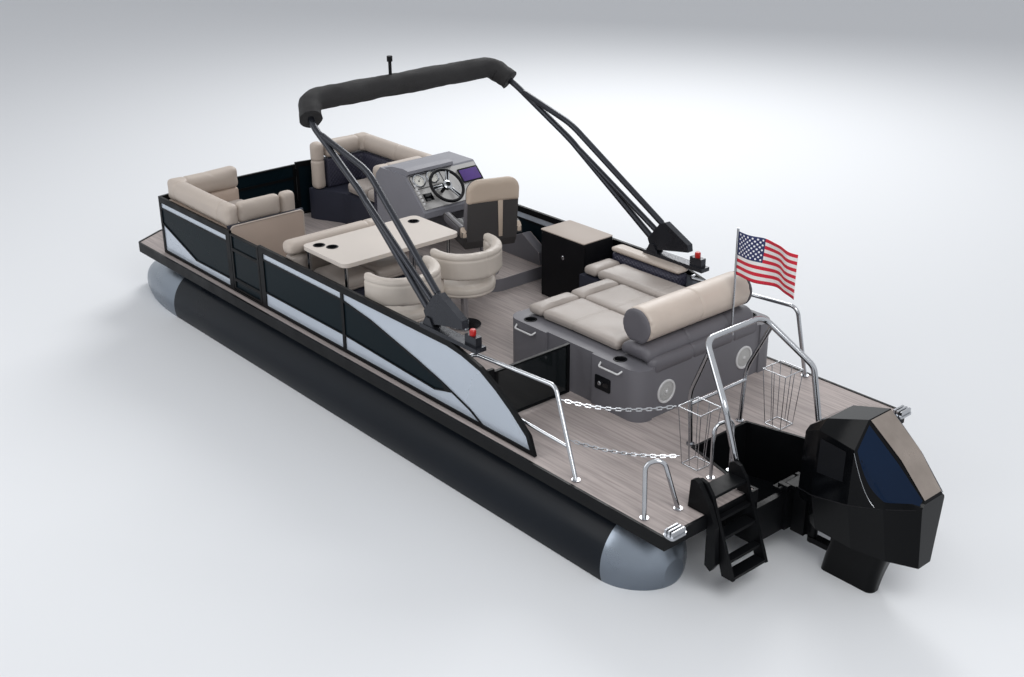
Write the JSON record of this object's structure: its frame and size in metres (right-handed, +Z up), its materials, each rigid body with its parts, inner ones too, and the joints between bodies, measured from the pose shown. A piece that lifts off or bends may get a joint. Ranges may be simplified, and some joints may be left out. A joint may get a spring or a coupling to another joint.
{
  "type": "pontoon boat",
  "caption": "Open pontoon boat with lounge seating, a helm, a folding tower, a stern deck with rails and a boarding ladder, and an outboard motor.",
  "frame": {"origin": "amidships on the centreline at the waterline", "axes": "+X forward, +Y to port, +Z up"},
  "size_m": [8.71, 2.59, 3.45],
  "materials": {
    "black_hull": "satin black paint",
    "bare_aluminium": "mill finish",
    "woven_floor": "woven vinyl, grained lengthwise",
    "black_frame": "black powder coat",
    "silver_panel": "bluish silver paint",
    "charcoal_panel": "gloss charcoal paint",
    "tinted_glass": "dark tint",
    "grey_shell": "grained grey moulding",
    "upholstery": "greige marine vinyl, sewn",
    "dark_upholstery": "quilted dark vinyl",
    "pale_top": "pale table top",
    "stainless": "polished stainless tube",
    "silver_dash": "silver",
    "black_plastic": "grained black",
    "graphite_tube": "graphite satin powder coat",
    "canvas": "black canvas",
    "flag_cloth": "striped cloth",
    "gloss_black": "deep gloss black",
    "engine_block": "plain block",
    "propeller_steel": "polished steel"
  },
  "bodies": {
    "hull": {"pontoons": "black_hull", "pontoon_cones": "bare_aluminium", "lifting_strakes": "bare_aluminium", "underframe": "bare_aluminium", "deck": "woven_floor", "deck_trim": "black_frame", "motor_pod": "black_frame", "rail_frame_port": "black_frame", "rail_frame_starboard": "black_frame", "panels_light": "silver_panel", "panels_dark": "charcoal_panel", "seat_bases": "grey_shell", "chaise_base": "grey_shell", "bow_seats": "upholstery", "bow_backs": "upholstery", "dinette_seat": "upholstery", "dinette_back": "upholstery", "chaise_pads": "upholstery", "chaise_back": "upholstery", "chaise_roll": "upholstery", "side_seat": "upholstery", "side_back": "dark_upholstery", "table_top": "pale_top", "table_legs": "stainless", "chair_pedestals": "stainless", "helm_platform": "woven_floor", "helm_console": "grey_shell", "dash_panel": "silver_dash", "cabinet_body": "black_plastic", "tower_brackets": "graphite_tube", "stern_rails": "stainless", "tow_hoop": "stainless", "wire_baskets": "stainless", "chains": "stainless", "flag_pole": "stainless", "flag": "flag_cloth", "ladder_brackets": "black_frame", "clamp_bracket": "black_frame"},
    "gate_port": {"gate_port_frame": "black_frame", "gate_port_panels": "charcoal_panel"},
    "gate_bow": {"gate_bow_frame": "black_frame", "gate_bow_panels": "charcoal_panel"},
    "gate_aft": {"gate_aft_frame": "black_frame", "gate_aft_glass": "tinted_glass"},
    "captain_chair": {"captain_chair_frame": "grey_shell", "captain_cushions": "upholstery"},
    "bucket_forward": {"bucket_chair_forward": "upholstery"},
    "bucket_aft": {"bucket_chair_aft": "upholstery"},
    "wheel": {"steering_wheel": "black_plastic"},
    "cabinet_leaf": {"cabinet_door": "black_plastic"},
    "tower": {"tower_frame": "graphite_tube", "tower_boot": "canvas", "anchor_light": "black_plastic"},
    "ladder": {"boarding_ladder": "black_frame"},
    "swivel": {"swivel_bracket": "black_frame"},
    "outboard": {"outboard_cowl": "gloss_black", "powerhead": "engine_block", "outboard_leg": "gloss_black"},
    "screw": {"propeller": "propeller_steel"}
  },
  "joints": [
    {"name": "gate_port_swing", "type": "hinge", "parent": "hull", "child": "gate_port", "pos_m": [1.688, 1.19, 0.91], "axis": [0, 0, 1], "range_deg": [0, 90]},
    {"name": "gate_bow_swing", "type": "hinge", "parent": "hull", "child": "gate_bow", "pos_m": [3.17, -0.396, 0.91], "axis": [0, 0, 1], "range_deg": [0, 90]},
    {"name": "gate_aft_swing", "type": "hinge", "parent": "hull", "child": "gate_aft", "pos_m": [-1.873, 1.124, 0.85], "axis": [0, 0, 1], "range_deg": [0, 90]},
    {"name": "captain_swivel", "type": "hinge", "parent": "hull", "child": "captain_chair", "pos_m": [0.325, -0.6, 1.02], "axis": [0, 0, 1], "continuous": true},
    {"name": "bucket_forward_swivel", "type": "hinge", "parent": "hull", "child": "bucket_forward", "pos_m": [-0.315, 0.13, 0.94], "axis": [0, 0, 1], "continuous": true},
    {"name": "bucket_aft_swivel", "type": "hinge", "parent": "hull", "child": "bucket_aft", "pos_m": [-0.405, 0.85, 0.94], "axis": [0, 0, 1], "continuous": true},
    {"name": "wheel_turn", "type": "hinge", "parent": "hull", "child": "wheel", "pos_m": [0.897, -0.65, 1.418], "axis": [-0.7071, 0, 0.7071], "range_deg": [-750, 750]},
    {"name": "cabinet_door_swing", "type": "hinge", "parent": "hull", "child": "cabinet_leaf", "pos_m": [-0.222, -0.844, 0.905], "axis": [0, 0, -1], "range_deg": [0, 100]},
    {"name": "tower_fold", "type": "hinge", "parent": "hull", "child": "tower", "pos_m": [-1.265, 0, 1.27], "axis": [0, 1, 0], "range_deg": [0, 22]},
    {"name": "ladder_flip", "type": "hinge", "parent": "hull", "child": "ladder", "pos_m": [-3.615, 0.667, 0.788], "axis": [0, 1, 0], "range_deg": [0, 160]},
    {"name": "outboard_tilt", "type": "hinge", "parent": "hull", "child": "swivel", "pos_m": [-3.72, 0, 0.505], "axis": [0, 1, 0], "range_deg": [0, 65]},
    {"name": "outboard_steer", "type": "hinge", "parent": "swivel", "child": "outboard", "pos_m": [-3.925, 0, 0.325], "axis": [0, 0, 1], "range_deg": [-30, 30]},
    {"name": "propeller_spin", "type": "hinge", "parent": "outboard", "child": "screw", "pos_m": [-4.3803, 0, -0.435], "axis": [1, 0, 0], "continuous": true}
  ],
  "couplings": [
    {"joint": "wheel_turn", "follows": "outboard_steer", "ratio": 25}
  ]
}
